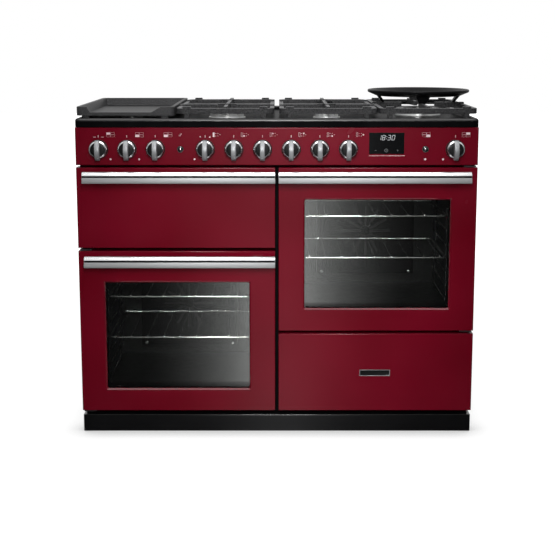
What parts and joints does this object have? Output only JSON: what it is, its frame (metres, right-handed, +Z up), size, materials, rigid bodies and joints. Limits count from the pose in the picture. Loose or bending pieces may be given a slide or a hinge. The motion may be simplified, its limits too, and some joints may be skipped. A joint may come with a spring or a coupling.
{
  "type": "dual fuel range cooker",
  "caption": "Free-standing range cooker with gas hob, griddle, wok ring, drop-down grill door, side-hinged oven doors, warming drawer and turning control knobs.",
  "frame": {"origin": "on the floor, under the middle of the overall box; the cooker's own middle is 6.5 mm to -X of it because the wok ring overhangs the right side", "axes": "+X to the cooker's right seen from the front, -Y out of the front, +Z up"},
  "size_m": [1.105, 0.658, 0.9495],
  "materials": {
    "red_enamel": "gloss",
    "black_enamel": "gloss",
    "oven_enamel": "satin",
    "chassis_black": "matt",
    "zinc_steel": "satin",
    "bright_handle": "polished",
    "burner_alloy": "satin",
    "cast_iron": "matt enamel",
    "chrome_wire": "polished",
    "oven_glass": "clear, smoked",
    "display_glass": "gloss",
    "knob_black_chrome": "black face with chrome skirt and grip",
    "button_black": "gloss",
    "switch_plastic": "matt",
    "seal_rubber": "matt",
    "tap_alloy": "satin"
  },
  "bodies": {
    "cooker_body": {"base_frame": "zinc_steel", "levelling_feet": "zinc_steel", "plinth": "black_enamel", "side_panels": "chassis_black", "rear_panel": "zinc_steel", "front_frame": "chassis_black", "hob_plate": "black_enamel", "control_panel": "red_enamel", "clock_display": "display_glass", "left_oven_cavity": "oven_enamel", "right_oven_cavity": "oven_enamel", "grill_cavity": "oven_enamel", "drawer_compartment": "zinc_steel", "door_seals": "seal_rubber", "hinge_brackets": "chassis_black", "ladder_racks": "chrome_wire", "oven_shelves": "chrome_wire", "fan_covers": "oven_enamel", "fan_motors": "zinc_steel", "heating_elements": "zinc_steel", "grill_pan": "black_enamel", "grill_trivet": "chrome_wire", "drawer_runners": "zinc_steel", "gas_rail": "zinc_steel", "gas_taps": "tap_alloy", "control_switches": "switch_plastic", "burner_heads": "burner_alloy", "burner_caps": "black_enamel"},
    "left_oven_door": {"left_oven_door_front": "red_enamel", "left_oven_door_liner": "black_enamel", "left_oven_door_glass": "oven_glass", "left_oven_door_handle": "bright_handle"},
    "right_oven_door": {"right_oven_door_front": "red_enamel", "right_oven_door_liner": "black_enamel", "right_oven_door_glass": "oven_glass", "right_oven_door_handle": "bright_handle"},
    "grill_door": {"grill_door_front": "red_enamel", "grill_door_liner": "black_enamel", "grill_door_handle": "bright_handle"},
    "drawer": {"drawer_front": "red_enamel", "drawer_box": "zinc_steel"},
    "left_oven_fan": {"left_oven_fan": "tap_alloy"},
    "right_oven_fan": {"right_oven_fan": "tap_alloy"},
    "griddle": {"griddle": "cast_iron"},
    "left_centre_pan_support": {"left_centre_pan_support": "cast_iron"},
    "right_centre_pan_support": {"right_centre_pan_support": "cast_iron"},
    "wok_pan_support": {"wok_pan_support": "cast_iron"},
    "wok_ring": {"wok_ring": "cast_iron"},
    "ignition_button": {"ignition_button": "button_black"},
    "drawer_button": {"drawer_button": "button_black"},
    "grill_knob": {"grill_knob": "knob_black_chrome"},
    "left_oven_function_knob": {"left_oven_function_knob": "knob_black_chrome"},
    "left_oven_temperature_knob": {"left_oven_temperature_knob": "knob_black_chrome"},
    "right_oven_temperature_knob": {"right_oven_temperature_knob": "knob_black_chrome"},
    "griddle_knob": {"griddle_knob": "knob_black_chrome"},
    "front_left_knob": {"front_left_knob": "knob_black_chrome"},
    "rear_left_knob": {"rear_left_knob": "knob_black_chrome"},
    "rear_right_knob": {"rear_right_knob": "knob_black_chrome"},
    "front_right_knob": {"front_right_knob": "knob_black_chrome"},
    "wok_knob": {"wok_knob": "knob_black_chrome"}
  },
  "joints": [
    {"name": "left_oven_door_hinge", "type": "hinge", "parent": "cooker_body", "child": "left_oven_door", "pos_m": [-0.541, -0.268, 0.29075], "axis": [0, 0, -1], "range_deg": [0, 105]},
    {"name": "right_oven_door_hinge", "type": "hinge", "parent": "cooker_body", "child": "right_oven_door", "pos_m": [0.528, -0.268, 0.52125], "axis": [0, 0, 1], "range_deg": [0, 105]},
    {"name": "grill_door_hinge", "type": "hinge", "parent": "cooker_body", "child": "grill_door", "pos_m": [-0.28163, -0.268, 0.538], "axis": [1, 0, 0], "range_deg": [0, 90]},
    {"name": "drawer_slide", "type": "slide", "parent": "cooker_body", "child": "drawer", "axis": [0, -1, 0], "range_m": [0, 0.38]},
    {"name": "grill_knob_turn", "type": "hinge", "parent": "cooker_body", "child": "grill_knob", "pos_m": [-0.489, -0.279, 0.799], "axis": [0, 1, 0], "range_deg": [0, 270]},
    {"name": "left_oven_function_knob_turn", "type": "hinge", "parent": "cooker_body", "child": "left_oven_function_knob", "pos_m": [-0.412, -0.279, 0.799], "axis": [0, 1, 0], "range_deg": [0, 270]},
    {"name": "left_oven_temperature_knob_turn", "type": "hinge", "parent": "cooker_body", "child": "left_oven_temperature_knob", "pos_m": [-0.335, -0.279, 0.799], "axis": [0, 1, 0], "range_deg": [0, 270]},
    {"name": "right_oven_temperature_knob_turn", "type": "hinge", "parent": "cooker_body", "child": "right_oven_temperature_knob", "pos_m": [0.476, -0.279, 0.799], "axis": [0, 1, 0], "range_deg": [0, 270]},
    {"name": "griddle_knob_turn", "type": "hinge", "parent": "cooker_body", "child": "griddle_knob", "pos_m": [-0.20025, -0.279, 0.799], "axis": [0, -1, 0], "range_deg": [0, 210]},
    {"name": "front_left_knob_turn", "type": "hinge", "parent": "cooker_body", "child": "front_left_knob", "pos_m": [-0.12275, -0.279, 0.799], "axis": [0, -1, 0], "range_deg": [0, 210]},
    {"name": "rear_left_knob_turn", "type": "hinge", "parent": "cooker_body", "child": "rear_left_knob", "pos_m": [-0.04525, -0.279, 0.799], "axis": [0, -1, 0], "range_deg": [0, 210]},
    {"name": "rear_right_knob_turn", "type": "hinge", "parent": "cooker_body", "child": "rear_right_knob", "pos_m": [0.03225, -0.279, 0.799], "axis": [0, -1, 0], "range_deg": [0, 210]},
    {"name": "front_right_knob_turn", "type": "hinge", "parent": "cooker_body", "child": "front_right_knob", "pos_m": [0.10975, -0.279, 0.799], "axis": [0, -1, 0], "range_deg": [0, 210]},
    {"name": "wok_knob_turn", "type": "hinge", "parent": "cooker_body", "child": "wok_knob", "pos_m": [0.18725, -0.279, 0.799], "axis": [0, -1, 0], "range_deg": [0, 210]},
    {"name": "ignition_button_press", "type": "slide", "parent": "cooker_body", "child": "ignition_button", "axis": [0, 1, 0], "range_m": [0, 0.003], "stiffness_N_per_m": 500},
    {"name": "drawer_button_press", "type": "slide", "parent": "cooker_body", "child": "drawer_button", "axis": [0, 1, 0], "range_m": [0, 0.003], "stiffness_N_per_m": 500},
    {"name": "left_oven_fan_spin", "type": "hinge", "parent": "cooker_body", "child": "left_oven_fan", "pos_m": [-0.28163, 0.1765, 0.276], "axis": [0, 1, 0], "continuous": true},
    {"name": "right_oven_fan_spin", "type": "hinge", "parent": "cooker_body", "child": "right_oven_fan", "pos_m": [0.26863, 0.1765, 0.5065], "axis": [0, 1, 0], "continuous": true},
    {"name": "griddle_lift", "type": "slide", "parent": "cooker_body", "child": "griddle", "axis": [0, 0, 1], "range_m": [0, 0.12]},
    {"name": "left_centre_pan_support_lift", "type": "slide", "parent": "cooker_body", "child": "left_centre_pan_support", "axis": [0, 0, 1], "range_m": [0, 0.12]},
    {"name": "right_centre_pan_support_lift", "type": "slide", "parent": "cooker_body", "child": "right_centre_pan_support", "axis": [0, 0, 1], "range_m": [0, 0.028]},
    {"name": "wok_pan_support_lift", "type": "slide", "parent": "cooker_body", "child": "wok_pan_support", "axis": [0, 0, 1], "range_m": [0, 0.12]},
    {"name": "wok_ring_lift", "type": "slide", "parent": "wok_pan_support", "child": "wok_ring", "axis": [0, 0, 1], "range_m": [0, 0.12]}
  ]
}
